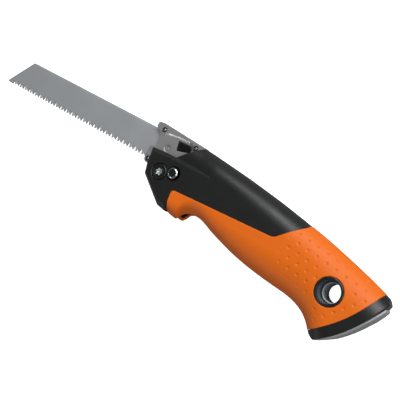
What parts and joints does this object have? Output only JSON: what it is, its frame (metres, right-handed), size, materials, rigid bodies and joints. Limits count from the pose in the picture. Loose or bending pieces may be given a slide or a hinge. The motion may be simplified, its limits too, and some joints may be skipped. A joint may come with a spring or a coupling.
{
  "type": "folding drywall saw",
  "caption": "Folding pull-cut drywall saw: stiff replaceable blade in a hinged metal arm, lock button, blade release and a soft-grip pistol handle with a hang hole.",
  "frame": {"origin": "centre of the hang hole, on the middle plane of the handle", "axes": "the saw lies on its far side: +X runs from the blade tip to the butt along the open blade, +Y from the belly and the teeth to the back, +Z out of the side with the bolt head and the lock button, along the hang hole"},
  "size_m": [0.3605, 0.1214, 0.0298],
  "materials": {
    "casing_plastic": "moulded black glass-filled plastic, fine satin texture",
    "soft_grip": "orange over-moulded soft grip, matte",
    "cap_plastic": "black moulded plastic, satin",
    "ferrule_plastic": "black moulded plastic, slightly glossy",
    "grey_plastic": "mid grey moulded plastic",
    "black_screw_steel": "black oxide steel",
    "dark_bolt_steel": "dark satin steel",
    "bearing_bronze": "sintered bronze",
    "polished_steel": "polished steel",
    "spring_steel": "drawn spring wire",
    "cast_grey": "die cast, powder coated mid grey",
    "rivet_steel": "bright turned steel",
    "blade_steel": "ground carbon steel, fine lengthwise grain",
    "button_plastic": "black moulded plastic with ribs"
  },
  "bodies": {
    "handle": {"housing_left": "casing_plastic", "housing_right": "casing_plastic", "grip_left": "soft_grip", "grip_right": "soft_grip", "end_cap": "cap_plastic", "butt_plate": "grey_plastic", "hang_ferrule_left": "ferrule_plastic", "hang_ferrule_right": "ferrule_plastic", "hang_sleeve": "grey_plastic", "housing_screws": "black_screw_steel", "pivot_bolt": "dark_bolt_steel", "pivot_nut": "dark_bolt_steel", "pivot_washers": "bearing_bronze", "lock_plug": "black_screw_steel"},
    "lock": {"lock_plunger": "polished_steel", "lock_clip": "spring_steel", "lock_spring": "spring_steel"},
    "blade_arm": {"arm_plate_left": "cast_grey", "arm_plate_right": "cast_grey", "arm_core": "cast_grey", "arm_rivets": "rivet_steel", "pivot_bush": "bearing_bronze", "locating_pin": "rivet_steel", "saw_blade": "blade_steel"},
    "release": {"release_button": "button_plastic", "release_catch": "polished_steel", "release_spring": "spring_steel"}
  },
  "joints": [
    {"name": "blade_fold", "type": "hinge", "parent": "handle", "child": "blade_arm", "pos_m": [-0.146, 0.014, 0], "axis": [0, 0, 1], "range_deg": [0, 172.5]},
    {"name": "lock_press", "type": "slide", "parent": "handle", "child": "lock", "axis": [0, 0, -1], "range_m": [0, 0.0026], "stiffness_N_per_m": 900, "springref_m": -0.001, "deforming": ["lock_spring"]},
    {"name": "release_press", "type": "slide", "parent": "blade_arm", "child": "release", "axis": [0, 0, -1], "range_m": [0, 0.0016], "stiffness_N_per_m": 800, "springref_m": -0.0015, "deforming": ["release_spring"]}
  ]
}
